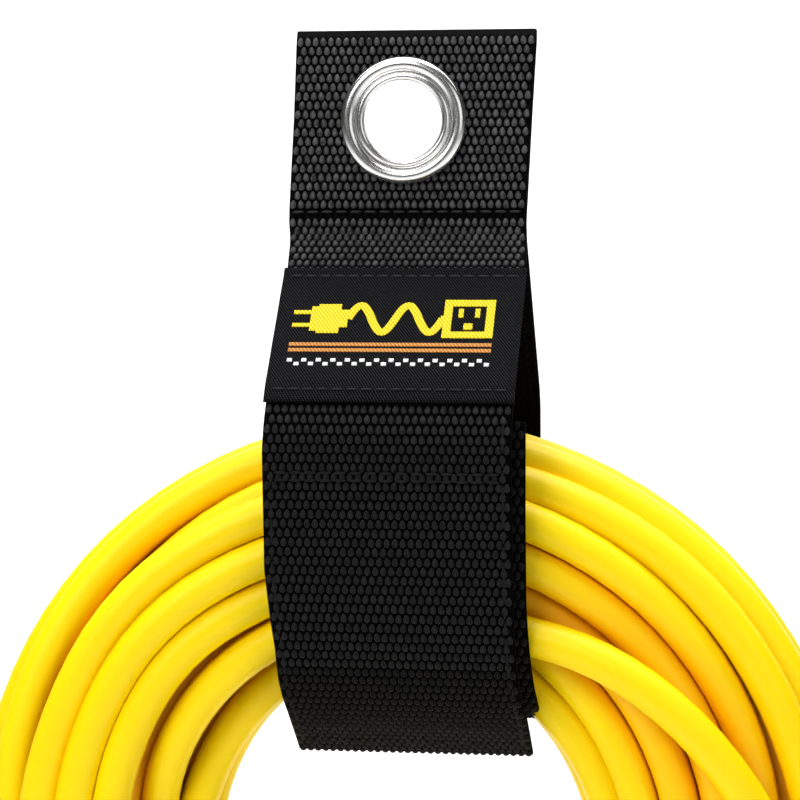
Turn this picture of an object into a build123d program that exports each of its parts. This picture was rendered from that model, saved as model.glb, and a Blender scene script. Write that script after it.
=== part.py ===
from build123d import *

import os
from math import acos, ceil, cos, degrees, hypot, pi, radians, sin, tan

# A coiled 16/3 extension cord hung in a webbing storage strap.
# Origin: centre of the strap's hanging eyelet. +Z is up, -Y is the front, and lengths are in millimetres.

os.makedirs("parts", exist_ok=True)

# Webbing strap
web_w = 49.6  # nominal two-inch webbing
web_t = 1.8
strap_x = 2.2  # the eyelet sits to the left of the strap's middle
ply_gap = 0.4  # between the two plies of the hanger
hinge_gap = 0.4  # each side of a fold line where the strap opens
top_z = 19.2
hinge_z = -20.5
slope_top_z = -24.5  # the legs leave the hanger here
flap_knee_z = -57.5
back_knee_z = -59.0
tail_end_z = -60.0
tape_t = 1.0  # hook tape and loop tape
tape_w = 46.0
tape_gap = 0.3  # between the hook tape and the loop tape
flap_wrap = 57.0  # degrees that the flap follows the bundle before it runs off straight
flap_tab = 16.0  # length of the free pull tab

# Ring of coiled cord
cord_d = 8.0
ring_y = -1.5
ring_z = -152.5
ring_out = 92.0
ring_in = 42.2
ring_depth = 48.0

# Where the strap wraps round the ring
wrap_z = -96.5
wrap_r = 25.0  # to the middle of the webbing
back_wrap_y = -1.0
tail_wrap_y = -2.0

# Woven label and its embroidery
label_t = 0.5
label_w = 49.9
label_z = (-57.3, -31.8)
thread_t = 0.3
motif_half_w = 20.4
motif_bands = ((-45.4, -38.0), (-47.2, -46.4), (-48.7, -47.9), (-51.6, -49.3))

# Eyelet
bore_r = 8.0
barrel_r = 8.5
washer_r = 13.0
lip_r = 9.9

# Leads and moulded ends
plug_lead = [(-80, -17, -152), (-81.2, -18.4, -188), (-79, -17, -232), (-79, -17, -274)]
socket_lead = [(80, -17, -152), (80.9, -18.6, -186), (79, -17, -227), (79, -17, -267)]
wire_d = 2.6
relief_len = 21.0
end_len = 32.0
end_w = 28.0
end_d = 25.0
blade_pitch = 12.7
ground_drop = 11.9
blade_len = 17.5
blade_t = 1.5
blade_w = 6.35
wide_blade_w = 7.9
pin_r = 2.4
pin_len = 21.0
socket_r = pin_r + 0.1


def save(piece, name):
    piece.part.label = name
    export_step(piece.part, f"parts/{name}.step")


# ---- Sheets that follow a path in the YZ plane ----
def unit(start, end):
    length = hypot(end[0] - start[0], end[1] - start[1])
    return (end[0] - start[0]) / length, (end[1] - start[1]) / length


def shifted(corners, distance):
    """The path's corners moved to its right-hand side by a distance."""
    runs = [unit(a, b) for a, b in zip(corners, corners[1:])]
    sides = [(dz, -dy) for dy, dz in runs]
    befores = [sides[0], *sides]
    afters = [*sides, sides[-1]]
    moved = []
    for (y, z), a, b in zip(corners, befores, afters):
        scale = distance / (1 + a[0] * b[0] + a[1] * b[1])
        moved.append((y + scale * (a[0] + b[0]), z + scale * (a[1] + b[1])))
    return moved


def shifted_radii(corners, radii, distance):
    """The corner radii of the path after the same move."""
    runs = [unit(a, b) for a, b in zip(corners, corners[1:])]
    turns = [a[0] * b[1] - a[1] * b[0] for a, b in zip(runs, runs[1:])]
    return [r + distance if turn > 0 else r - distance for r, turn in zip(radii, turns)]


def sheet(corners, radii, near, far, half_w):
    """A sheet of webbing between two distances from a path, extruded both ways along X."""
    sides = [shifted(corners, distance) for distance in (near, far)]
    with BuildPart() as cloth:
        with BuildSketch(Plane.YZ.offset(strap_x)):
            with BuildLine():
                for points, distance in zip(sides, (near, far)):
                    FilletPolyline(points, radius=shifted_radii(corners, radii, distance))
                Line(sides[0][0], sides[1][0])
                Line(sides[0][-1], sides[1][-1])
            make_face()
        extrude(amount=half_w, both=True)
    return cloth.part


def keep_between(z_low, z_high):
    """Keeps the part of the active solid between two heights."""
    with Locations((0, 0, (z_low + z_high) / 2)):
        Box(120, 120, z_high - z_low, mode=Mode.INTERSECT)


ply_y = (web_t + ply_gap) / 2  # middle of each ply of the hanger
under_z = wrap_z - wrap_r  # middle of the webbing under the bundle
back_y = back_wrap_y + wrap_r
back_path = [
    (-ply_y, hinge_z + hinge_gap),
    (-ply_y, top_z - web_t / 2),
    (ply_y, top_z - web_t / 2),
    (ply_y, slope_top_z),
    (back_y, back_knee_z),
    (back_y, under_z),
    (back_wrap_y - 0.1, under_z),
]
back_radii = [ply_y - 0.01, ply_y - 0.01, 8, 16, wrap_r]

tail_y = tail_wrap_y - wrap_r
tail_path = [(tail_wrap_y + 0.1, under_z), (tail_y, under_z), (tail_y, tail_end_z)]
tail_radii = [wrap_r]

# The flap's path is the inner face of its webbing
flap_r = wrap_r + web_t / 2 + 2 * tape_t + tape_gap
flap_y = tail_wrap_y - flap_r
run_off = radians(flap_wrap)
leave = (tail_wrap_y - flap_r * cos(run_off), wrap_z - flap_r * sin(run_off))
flap_path = [
    (-ply_gap / 2, hinge_z - hinge_gap),
    (-ply_gap / 2, slope_top_z),
    (flap_y, flap_knee_z),
    (flap_y, wrap_z - flap_r * tan(run_off / 2)),
    (leave[0] + flap_tab * sin(run_off), leave[1] - flap_tab * cos(run_off)),
]
flap_radii = [6, 14, flap_r]

# ---- Hanger and back leg: one length of webbing, folded over at the top ----
with BuildPart() as hanger_webbing:
    add(sheet(back_path, back_radii, -web_t / 2, web_t / 2, web_w / 2))
    with BuildSketch(Plane.XZ.offset(-10)):
        Circle(barrel_r + 0.1)
    extrude(amount=20, mode=Mode.SUBTRACT)
save(hanger_webbing, "hanger_webbing")

# ---- Front flap ----
with BuildPart() as flap_webbing:
    add(sheet(flap_path, flap_radii, 0, web_t, web_w / 2))
save(flap_webbing, "flap_webbing")

with BuildPart() as hook_tape:
    add(sheet(flap_path, flap_radii, -tape_t, 0, tape_w / 2))
    keep_between(-126.5, -66.0)
save(hook_tape, "hook_tape")

with BuildPart() as woven_label:
    add(sheet(flap_path, flap_radii, web_t, web_t + label_t, label_w / 2))
    keep_between(*label_z)
save(woven_label, "woven_label")


def label_thread(z_low, z_high):
    """A raised band of thread on the label's face."""
    with BuildPart() as band:
        near = web_t + label_t
        add(sheet(flap_path, flap_radii, near, near + thread_t, motif_half_w))
        keep_between(z_low, z_high)
    return band.part


with BuildPart() as label_embroidery:
    for z_low, z_high in motif_bands:
        add(label_thread(z_low, z_high))
save(label_embroidery, "label_embroidery")


def stitch_lines(path, radii, near, edge_x, z_low, z_high, rows):
    """Thread lying on a sheet: one line down each edge, and one across at each row."""
    with BuildPart() as lines:
        add(sheet(path, radii, near, near + thread_t, edge_x))
        keep_between(z_low, z_high)
        rows = sorted([z_low - 1, *rows, z_high + 1])
        for low, high in zip(rows, rows[1:]):
            with Locations((strap_x, 0, (low + high) / 2)):
                Box(2 * edge_x - 1.2, 120, high - low - 0.6, mode=Mode.SUBTRACT)
    return lines.part


with BuildPart() as hook_tape_stitching:
    add(stitch_lines(flap_path, flap_radii, web_t, 22.6, -124.6, -71.0, [-71.6, -124.0]))
save(hook_tape_stitching, "hook_tape_stitching")

with BuildPart() as label_stitching:
    near = web_t + label_t
    add(stitch_lines(flap_path, flap_radii, near, 24.0, -55.4, -33.2, [-54.8, -33.8]))
save(label_stitching, "label_stitching")

# ---- Tail: comes up in front of the bundle, under the flap ----
with BuildPart() as tail_webbing:
    add(sheet(tail_path, tail_radii, -web_t / 2, web_t / 2, web_w / 2))
    keep_between(under_z - web_t, tail_end_z)
save(tail_webbing, "tail_webbing")

with BuildPart() as loop_tape:
    add(sheet(tail_path, tail_radii, -web_t / 2 - tape_t, -web_t / 2, tape_w / 2))
    keep_between(-119.0, tail_end_z - 1.5)
save(loop_tape, "loop_tape")

with BuildPart() as loop_tape_stitching:
    add(stitch_lines(tail_path, tail_radii, web_t / 2, 22.6, -117.6, -62.4, [-117, -63]))
save(loop_tape_stitching, "loop_tape_stitching")

# ---- Seam that closes the hanger's two plies ----
with BuildPart() as hanger_stitching:
    for side in (-1, 1):
        y = side * (ply_gap / 2 + web_t + thread_t / 2)
        with Locations((strap_x, y, hinge_z + 1.6)):
            Box(web_w - 4, thread_t, 0.6)
save(hanger_stitching, "hanger_stitching")

# ---- Eyelet: barrel with a rear flange and a front lip rolled over the washer ----
ply_out = ply_gap / 2 + web_t
with BuildPart() as grommet_eyelet:
    with BuildSketch(Plane.YZ):
        with BuildLine():
            Polyline(
                (-ply_out - 0.9, bore_r),
                (ply_out + 0.5, bore_r),
            )
            RadiusArc((ply_out + 0.5, bore_r), (ply_out + 1.3, bore_r + 0.8), -0.8)
            Line((ply_out + 1.3, bore_r + 0.8), (ply_out + 0.9, washer_r - 0.7))
            RadiusArc((ply_out + 0.9, washer_r - 0.7), (ply_out + 0.05, washer_r), -1.0)
            Polyline(
                (ply_out + 0.05, washer_r),
                (ply_out + 0.05, barrel_r),
                (-ply_out - 0.9, barrel_r),
            )
            Line((-ply_out - 0.9, barrel_r), (-ply_out - 0.9, bore_r))
        make_face()
    revolve(axis=Axis.Y)
    with BuildSketch(Plane.YZ):
        with Locations((-ply_out - 0.9, (bore_r + lip_r) / 2)):
            Circle((lip_r - bore_r) / 2)
        with Locations((-ply_out + 0.1, (bore_r + lip_r) / 2)):
            Rectangle(2, 4, mode=Mode.SUBTRACT)
    revolve(axis=Axis.Y)
save(grommet_eyelet, "grommet_eyelet")

with BuildPart() as grommet_washer:
    with BuildSketch(Plane.YZ):
        with BuildLine():
            Polyline(
                (-ply_out - 0.8, lip_r - 0.4),
                (-ply_out - 0.8, barrel_r + 0.05),
                (-ply_out - 0.05, barrel_r + 0.05),
                (-ply_out - 0.05, washer_r),
            )
            ThreePointArc(
                (-ply_out - 0.05, washer_r),
                (-ply_out - 2.0, (washer_r + lip_r) / 2 + 0.2),
                (-ply_out - 0.9, lip_r + 0.02),
            )
            Line((-ply_out - 0.9, lip_r + 0.02), (-ply_out - 0.8, lip_r - 0.4))
        make_face()
    revolve(axis=Axis.Y)
    add(grommet_eyelet.part, mode=Mode.SUBTRACT)
save(grommet_washer, "grommet_washer")

# ---- Coil of cord ----
ring_mid = (ring_out + ring_in) / 2
with BuildPart() as cord_coil:
    with BuildSketch(Plane.YZ):
        with Locations((ring_y, ring_z + ring_mid)):
            Ellipse(ring_depth / 2, (ring_out - ring_in) / 2)
    revolve(axis=Axis((0, 0, ring_z), (0, 1, 0)))
save(cord_coil, "cord_coil")


# ---- Leads: each is a tube along straight runs and tangent arcs ----
def lead(route, name):
    corners = [Vector(*p) for p in route]
    runs = [b - a for a, b in zip(corners, corners[1:])]
    radii = []
    for a, b in zip(runs, runs[1:]):
        turn = radians(a.get_angle(b))
        radii.append(0.45 * min(a.length, b.length) / tan(turn / 2))
    print(name, "bend radii", [round(r) for r in radii])
    with BuildPart() as tube:
        with BuildLine():
            path = FilletPolyline(route, radius=radii)
        with BuildSketch(path ^ 0):
            Circle(cord_d / 2)
        sweep()
    expected = pi * (cord_d / 2) ** 2 * path.length
    print(name, "volume", round(tube.part.volume), "expected", round(expected))
    save(tube, name)


lead(plug_lead, "plug_lead")
lead(socket_lead, "connector_lead")


# ---- Moulded ends. Each has its own plane: local Z runs along the cord, away from the coil ----
def strain_relief(plane, name):
    ribs = 3
    with BuildPart() as relief:
        with BuildSketch(plane):
            Circle(cord_d / 2 + 1.2)
        with BuildSketch(plane.offset(relief_len)):
            Circle(cord_d / 2 + 3.6)
        loft()
        for i in range(ribs):
            at = 4 + i * 5
            radius = cord_d / 2 + 1.2 + 2.4 * at / relief_len
            with BuildSketch(plane.offset(at)):
                Circle(radius + 1)
                Circle(radius - 0.7, mode=Mode.SUBTRACT)
            extrude(amount=2.2, mode=Mode.SUBTRACT)
        with BuildSketch(plane):
            Circle(cord_d / 2)
        extrude(amount=relief_len, mode=Mode.SUBTRACT)
    save(relief, name)


def wire(plane, start, end, length, name):
    """An insulated conductor that splays from the end of the jacket to its terminal."""
    points = [(*start, 0), (*start, 2.5), (*end, length - 3.0), (*end, length)]
    route = [plane.from_local_coords(Vector(*p)) for p in points]
    with BuildPart() as core:
        with BuildLine():
            path = FilletPolyline(route, radius=2.0)
        with BuildSketch(path ^ 0):
            Circle(wire_d / 2)
        sweep()
    save(core, name)
    return core.part


wire_len = 12.0  # from the jacket's end to the terminals
insert_len = end_len - wire_len - 2.0


def terminals(side):
    """Where each conductor starts and ends; side is 1 for a plug and -1 for a connector, its mirror image."""
    x = side * blade_pitch / 2
    up = ground_drop / 2
    return {
        "line": ((-1.6 * side, 1.0), (-x, up - 0.6)),
        "neutral": ((1.6 * side, 1.0), (x, up - 0.6)),
        "ground": ((0, -1.8), (0, -up - 0.6)),
    }


def moulded_body(plane, inside, depth, name):
    """The soft overmould, with a waisted grip, over an insert and three wires."""
    with BuildPart() as body:
        with BuildSketch(plane):
            Circle(cord_d / 2 + 4.2)
        with BuildSketch(plane.offset(9)):
            RectangleRounded(end_w, end_d, 8)
        loft()
        with BuildSketch(plane.offset(9)):
            RectangleRounded(end_w, end_d, 8)
        extrude(amount=end_len - 9)
        for side in (-1, 1):
            with BuildSketch(plane.offset(13)):
                with Locations((side * (end_w / 2 + 7.2), 0)):
                    Circle(8.5)
            extrude(amount=12, mode=Mode.SUBTRACT)
        mouth = body.faces().sort_by(Axis.Z)[0]
        fillet(mouth.edges(), radius=1.5)
        for solid in inside:
            add(solid, mode=Mode.SUBTRACT)
        with BuildSketch(plane.offset(wire_len)):
            RectangleRounded(21, 20, 4)
        extrude(amount=depth, mode=Mode.SUBTRACT)
    save(body, name)


plug_plane = Plane(origin=plug_lead[-1], x_dir=(1, 0, 0), z_dir=(0, 0, -1))
socket_plane = Plane(origin=socket_lead[-1], x_dir=(1, 0, 0), z_dir=(0, 0, -1))


def build_plug(plane):
    contacts = terminals(1)
    strain_relief(plane.offset(-relief_len), "plug_strain_relief")
    inside = []
    for name, (start, end) in contacts.items():
        inside.append(wire(plane, start, end, wire_len, f"plug_{name}_wire"))
    base = plane.offset(wire_len)
    blades = {"line": blade_w, "neutral": wide_blade_w}
    metal = []
    for name, width in blades.items():
        end = contacts[name][1]
        with BuildPart() as blade:
            with BuildSketch(base):
                with Locations(end):
                    Rectangle(blade_t, width)
            extrude(amount=end_len - wire_len + blade_len)
            tip = blade.faces().sort_by(Axis.Z)[0]
            chamfer(tip.edges().filter_by(Axis.Y), length=0.5)
        save(blade, f"plug_{name}_blade")
        metal.append(blade.part)
    with BuildPart() as pin:
        with BuildSketch(base):
            with Locations(contacts["ground"][1]):
                Circle(pin_r + 0.5)  # the shank inside the insert
        extrude(amount=end_len - wire_len)
        with BuildSketch(plane.offset(end_len)):
            with Locations(contacts["ground"][1]):
                Circle(pin_r)
        extrude(amount=pin_len)
        fillet(pin.faces().sort_by(Axis.Z)[0].edges(), radius=pin_r - 0.1)
    save(pin, "plug_ground_pin")
    metal.append(pin.part)
    with BuildPart() as insert:
        with BuildSketch(base):
            RectangleRounded(21, 20, 4)
        extrude(amount=insert_len)
        for solid in metal:
            add(solid, mode=Mode.SUBTRACT)
    save(insert, "plug_insert")
    moulded_body(plane, [*inside, *metal], insert_len, "plug_body")


def build_connector(plane):
    contacts = terminals(-1)
    strain_relief(plane.offset(-relief_len), "connector_strain_relief")
    inside = []
    for name, (start, end) in contacts.items():
        inside.append(wire(plane, start, end, wire_len, f"connector_{name}_wire"))
    base = plane.offset(wire_len)
    leaf_len = 14.0
    springs = []
    for name, width in (("line", blade_w), ("neutral", wide_blade_w)):
        with BuildPart() as contact:
            with BuildSketch(base):
                with Locations(contacts[name][1]):
                    Rectangle(3.0, width + 0.6)
            extrude(amount=leaf_len)
            with BuildSketch(base.offset(1.0)):
                with Locations(contacts[name][1]):
                    Rectangle(2.0, width + 2)
            extrude(amount=leaf_len, mode=Mode.SUBTRACT)
        save(contact, f"connector_{name}_contact")
        springs.append(contact.part)
    with BuildPart() as sleeve:
        with BuildSketch(base):
            with Locations(contacts["ground"][1]):
                Circle(3.1)
        extrude(amount=leaf_len)
        with BuildSketch(base.offset(1.0)):
            with Locations(contacts["ground"][1]):
                Circle(socket_r)
        extrude(amount=leaf_len, mode=Mode.SUBTRACT)
    save(sleeve, "connector_ground_contact")
    springs.append(sleeve.part)
    with BuildPart() as insert:
        with BuildSketch(base):
            RectangleRounded(21, 20, 4)
        extrude(amount=end_len - wire_len)
        with BuildSketch(base.offset(1.0)):
            with Locations(contacts["line"][1]):
                Rectangle(blade_t + 0.5, blade_w + 0.4)
            with Locations(contacts["neutral"][1]):
                Rectangle(blade_t + 0.5, wide_blade_w + 0.4)
            with Locations(contacts["ground"][1]):
                Circle(socket_r)
        extrude(amount=end_len, mode=Mode.SUBTRACT)
        for solid in springs:
            add(solid, mode=Mode.SUBTRACT)
    save(insert, "connector_insert")
    moulded_body(plane, inside, end_len - wire_len, "connector_body")


build_plug(plug_plane)
build_connector(socket_plane)
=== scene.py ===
import bpy, bmesh, math, random
import numpy as np
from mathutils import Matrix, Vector


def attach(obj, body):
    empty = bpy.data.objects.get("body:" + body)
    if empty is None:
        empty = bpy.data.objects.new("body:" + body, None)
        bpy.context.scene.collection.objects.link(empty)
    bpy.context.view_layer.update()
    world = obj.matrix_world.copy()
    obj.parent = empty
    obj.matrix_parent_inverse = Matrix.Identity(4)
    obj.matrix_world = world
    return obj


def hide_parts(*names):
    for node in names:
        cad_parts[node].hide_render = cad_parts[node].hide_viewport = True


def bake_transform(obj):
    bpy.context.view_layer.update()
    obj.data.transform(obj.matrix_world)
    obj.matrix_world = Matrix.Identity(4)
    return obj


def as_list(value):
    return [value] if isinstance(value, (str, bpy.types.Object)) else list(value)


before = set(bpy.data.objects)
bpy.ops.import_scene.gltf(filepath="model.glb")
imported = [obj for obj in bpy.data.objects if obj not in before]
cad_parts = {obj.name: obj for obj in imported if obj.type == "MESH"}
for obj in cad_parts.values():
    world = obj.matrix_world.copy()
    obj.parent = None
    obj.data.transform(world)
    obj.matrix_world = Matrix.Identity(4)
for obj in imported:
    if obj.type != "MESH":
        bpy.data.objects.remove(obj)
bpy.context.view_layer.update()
mm = 0.001
print("frame loaded")

viewpoint = {
    "target": (-0.0011, 0.0, -0.0575),
    "azimuth": 9.0,  # degrees towards +X
    "elevation": 3.0,
    "distance": 0.600,
    "lens": 130.6,  # mm on a 36 mm sensor
}


def link(name, data):
    thing = bpy.data.objects.new(name, data)
    bpy.context.scene.collection.objects.link(thing)
    return thing


def placeCamera(v):
    az, el = math.radians(v["azimuth"]), math.radians(v["elevation"])
    back = Vector((math.sin(az) * math.cos(el), -math.cos(az) * math.cos(el), math.sin(el)))
    data = bpy.data.cameras.new("camera")
    data.lens = v["lens"]
    data.sensor_width = 36
    data.clip_start = 0.01
    data.clip_end = 50
    camera = link("camera", data)
    camera.location = Vector(v["target"]) + back * v["distance"]
    camera.rotation_euler = (-back).to_track_quat("-Z", "Y").to_euler()
    bpy.context.scene.camera = camera


placeCamera(viewpoint)
print("camera placed")


class Num:  # a socket that can be used in sums
    def __init__(self, look, socket):
        self.look, self.socket = look, socket

    def join(self, how, other, flip=False):
        first, second = (other, self) if flip else (self, other)
        made = self.look.node("ShaderNodeMath", {"operation": how}, {0: first, 1: second})
        return Num(self.look, made.outputs[0])

    def __add__(self, other):
        return self.join("ADD", other)

    def __mul__(self, other):
        return self.join("MULTIPLY", other)

    def __sub__(self, other):
        return self.join("SUBTRACT", other)

    def __rsub__(self, other):
        return self.join("SUBTRACT", other, True)

    def __pow__(self, other):
        return self.join("POWER", other)

    __radd__ = __add__
    __rmul__ = __mul__


class Look:  # one material, made from nodes
    def __init__(self, name, **constants):
        self.material = bpy.data.materials.new(name)
        self.material.use_nodes = True
        self.tree = self.material.node_tree
        self.tree.nodes.clear()
        self.shader = self.node("ShaderNodeBsdfPrincipled")
        self.node("ShaderNodeOutputMaterial", {}, {"Surface": self.shader.outputs[0]})
        for socket, value in constants.items():
            self.shader.inputs[socket.replace("_", " ")].default_value = value

    def node(self, kind, settings=None, sockets=None):
        made = self.tree.nodes.new(kind)
        for key, value in (settings or {}).items():
            if key == "stops":
                ramp = made.color_ramp
                while len(ramp.elements) < len(value):
                    ramp.elements.new(0.5)
                for element, (place, colour) in zip(ramp.elements, value):
                    element.position, element.color = place, (*colour, 1)
            else:
                setattr(made, key, value)
        for key, value in (sockets or {}).items():
            self.plug(made.inputs[key], value)
        return made

    def plug(self, socket, value):
        if isinstance(value, Num):
            value = value.socket
        if isinstance(value, bpy.types.NodeSocket):
            self.tree.links.new(value, socket)
        elif socket.type == "RGBA" and len(value) == 3:
            socket.default_value = (*value, 1)
        else:
            socket.default_value = value

    def feed(self, **sockets):
        for name, value in sockets.items():
            self.plug(self.shader.inputs[name.replace("_", " ")], value)

    def coords(self, which="Object", scale=(1, 1, 1), turn=(0, 0, 0)):
        source = self.node("ShaderNodeTexCoord").outputs[which]
        sockets = {"Vector": source, "Scale": scale, "Rotation": turn}
        return self.node("ShaderNodeMapping", {}, sockets).outputs[0]

    def noise(self, vector, scale, detail=3.0, rough=0.5):
        sockets = {"Vector": vector, "Scale": scale, "Detail": detail, "Roughness": rough}
        return Num(self, self.node("ShaderNodeTexNoise", {}, sockets).outputs[0])

    def attribute(self, name):
        return Num(self, self.node("ShaderNodeAttribute", {"attribute_name": name}).outputs["Fac"])

    def wave(self, vector, scale, direction="X", distortion=0.0):
        sockets = {"Vector": vector, "Scale": scale, "Distortion": distortion}
        return Num(self, self.node("ShaderNodeTexWave", {"bands_direction": direction}, sockets).outputs[1])

    def blend(self, factor, low, high):
        return self.node("ShaderNodeMix", {"data_type": "RGBA"}, {0: factor, 6: low, 7: high}).outputs[2]

    def ramp(self, value, stops):
        return self.node("ShaderNodeValToRGB", {"stops": stops}, {"Fac": value}).outputs[0]

    def bump(self, height, distance, strength=1.0):
        sockets = {"Height": height, "Distance": distance, "Strength": strength}
        return self.node("ShaderNodeBump", {}, sockets).outputs[0]


def wear(thing, look):  # gives an object one material
    thing.data.materials.clear()
    thing.data.materials.append(look.material)


vinyl = {
    "skin": (1.0, 0.76, 0.0),
    # painted shade colour part way down between the turns, also mixed in at random by noise
    "shade": (0.98, 0.53, 0.0),
    "deep": (0.72, 0.24, 0.0),  # painted shade, far down between the turns
    "paintedShadeCore": 0.0135,  # metres from the middle of the bundle, inside which the painted shade is darkest
    "reach": 0.01,  # metres from there out to the unshaded skin colour
    "gloss": 0.32,
}


def vinylLook(name, v):  # painted shade: darker, more orange colour down between the turns of the coil, where shade falls
    look = Look(name, Specular_IOR_Level=0.22)
    place = look.coords()
    broad = look.noise(place, 45, 2)
    fine = look.noise(place, 900, 4, 0.6)
    split = look.node("ShaderNodeSeparateXYZ", {}, {0: place})
    x, y, z = (Num(look, socket) for socket in split.outputs)
    z = z - cord["ringZ"] * mm
    radial = (x * x + z * z) ** 0.5 - cord["ringRadius"] * mm
    y = y - cord["ringY"] * mm
    depth = (radial * radial + y * y) ** 0.5
    # painted shade: deep orange near the middle of the bundle, the shade colour part way out, the plain skin
    # outside
    stops = [(0.0, v["deep"]), (0.36, v["shade"]), (0.72, v["skin"])]
    colour = look.ramp((depth - v["paintedShadeCore"]) * (1 / v["reach"]), stops)
    look.feed(
        Base_Color=look.blend(broad * 0.22 + fine * 0.1, colour, v["shade"]),
        Roughness=broad * 0.08 + fine * 0.12 + v["gloss"],
        Normal=look.bump(fine, 0.00006, 0.5),
    )
    return look


cord = {
    "diameter": 0.008,
    "length": 10.67,
    "turns": 24.5,
    "perTurn": 16,  # control points in each turn
    "ringRadius": 66.5,  # to the middle of the bundle, mm
    "ringY": -1.5,
    "ringZ": -152.5,
    "halfRadial": 25.5,
    "halfDepth": 24.0,
    "spread": (21.5, 20.0),  # the outer layer's half sizes, to the turns' middles
    "rings": [(16, 0.97, 0.1), (9, 0.57, 0.3)],  # each layer's turns, how far out, and turned by
    "column": 7,  # the turns are laid down in columns this wide, up and down in turn
    "spare": 0.15,  # room between turns
    "fan": {"from": 0.45, "over": 0.8, "out": 0.07},  # radians from the strap, and share of the offset
    "drift": {"held": 0.5, "loose": 1.3},  # wander under the strap, and more where the turns fan out
    "room": {"radial": 2.0, "depth": 0.8},  # how much larger the section may get there
    "loops": 420,  # rounds of settling
    "ease": {"home": 0.05, "early": 0.25, "late": 0.1, "push": 0.7},  # shares of a gap closed in one round
    "plugRoute": [(-79, -17, -274), (-79, -17, -232), (-81.2, -18.4, -188)],
    "socketRoute": [(80.9, -18.6, -186), (79, -17, -227), (79, -17, -267)],
    # radial and depth offsets: how the first turn goes in, and how the last one crosses the front
    "firstTurn": [(13.5, -15.5), (17, -12), (19.5, -7)],
    "lastTurn": [
        (-16, -4),
        (-15, -13),
        (-14, -15),
        (-13.5, -16),
        (-14, -16),
        (-12.5, -17),
        (-4, -20.8),
        (4, -21.5),
        (13.5, -15.5),
    ],
    "freeEnd": (20.4, -16.9),  # where the two free ends hang in front of the bundle
    "seed": 7,
}


def windTurns(c):
    # each turn starts in its own place in the bundle, then the turns push each other apart like real cord
    per, radius, gap = c["perTurn"], c["diameter"] / 2 / mm, c["diameter"] / mm + c["spare"]
    count = int(c["turns"] * per) + 1
    index = np.arange(count)
    station, turn = index % per, index // per
    angle = math.pi - 2 * math.pi * station / per
    rand = np.random.default_rng(c["seed"])

    total = int(c["turns"]) + 1
    spots = []
    for many, share, turned in c["rings"]:
        for k in range(many):
            a = 2 * math.pi * k / many + turned
            spots.append((c["spread"][0] * share * math.cos(a), c["spread"][1] * share * math.sin(a)))
    column = {spot: round(spot[0] / c["column"]) for spot in spots}
    spots.sort(key=lambda spot: (-column[spot], spot[1] * (1 if column[spot] % 2 else -1)))
    places = np.array(spots[:total], float)

    step = np.clip((index % per) / per * 2 - 1, 0, 1)
    step = step * step * (3 - 2 * step)
    after = np.minimum(turn + 1, total - 1)
    aim = places[turn] * (1 - step[:, None]) + places[after] * step[:, None]
    fromTop = np.abs(((angle - math.pi / 2 + math.pi) % (2 * math.pi)) - math.pi)
    spread, wander, ease = c["fan"], c["drift"], c["ease"]
    fan = np.clip((fromTop - spread["from"]) / spread["over"], 0, 1)  # 1 where the strap doesn't hold them
    drift = rand.normal(0, 1, (count // 5 + 3, 2))
    drift = np.stack([np.interp(index / 5, np.arange(len(drift)), drift[:, k]) for k in (0, 1)], 1)
    aim = aim * (1 + spread["out"] * fan[:, None]) + drift * (wander["held"] + wander["loose"] * fan[:, None])

    fixed = np.zeros(count, bool)
    place = aim.copy()
    last = count - 1 - per // 2
    beside = {}  # the set turns also hold their room halfway to the next station
    for first, run in ((0, c["firstTurn"]), (last, c["lastTurn"])):
        place[first : first + len(run)] = run
        fixed[first : first + len(run)] = True
        for k, (one, two) in enumerate(zip(run, run[1:])):
            half = ((one[0] + two[0]) / 2, (one[1] + two[1]) / 2)
            beside.setdefault(k, []).append(half)
            beside.setdefault(k + 1, []).append(half)
    held = place[fixed].copy()
    leads = {per - 1: c["freeEnd"], per // 2 + 1: c["freeEnd"]}
    halves = (c["halfRadial"], c["room"]["radial"]), (c["halfDepth"], c["room"]["depth"])
    limit = np.stack([half - radius + more * fan for half, more in halves], 1)

    for loop in range(c["loops"]):
        settle = loop / c["loops"]
        place += (aim - place) * ease["home"] * (1 - settle)
        middle = (place[:-2] + place[2:]) / 2
        place[1:-1] += (middle - place[1:-1]) * (ease["early"] if settle < 0.75 else ease["late"])
        for s in range(per):
            here = index[station == s]
            spots = place[here]
            others = [*beside.get(s, []), *([leads[s]] if s in leads else [])]
            if others:
                spots = np.vstack([spots, others])
            for _ in range(2):
                away = spots[:, None] - spots[None]
                far = np.sqrt((away**2).sum(-1)) + 1e-9
                np.fill_diagonal(far, 99)
                push = np.clip(gap - far, 0, None) / far * 0.5
                spots = spots + (away * push[..., None]).sum(1) * ease["push"]
                spots[: len(here)][fixed[here]] = place[here][fixed[here]]
            place[here] = spots[: len(here)]
        reach = np.sqrt(((place / limit) ** 2).sum(1))
        place = np.where((reach > 1)[:, None], place / np.maximum(reach, 1)[:, None], place)
        place[fixed] = held
    worst = 99
    for s in range(per):
        spots = place[station == s]
        far = np.sqrt(((spots[:, None] - spots[None]) ** 2).sum(-1))
        np.fill_diagonal(far, 99)
        worst = min(worst, far.min())
    print("closest turns", round(float(worst), 2), "mm")

    swell = 8 / (6 + 2 * math.cos(2 * math.pi / per))  # a quadratic spline cuts inside its points
    out = (c["ringRadius"] + place[:, 0]) * swell
    return np.stack([out * np.cos(angle), c["ringY"] + place[:, 1], c["ringZ"] + out * np.sin(angle)], 1)


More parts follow.
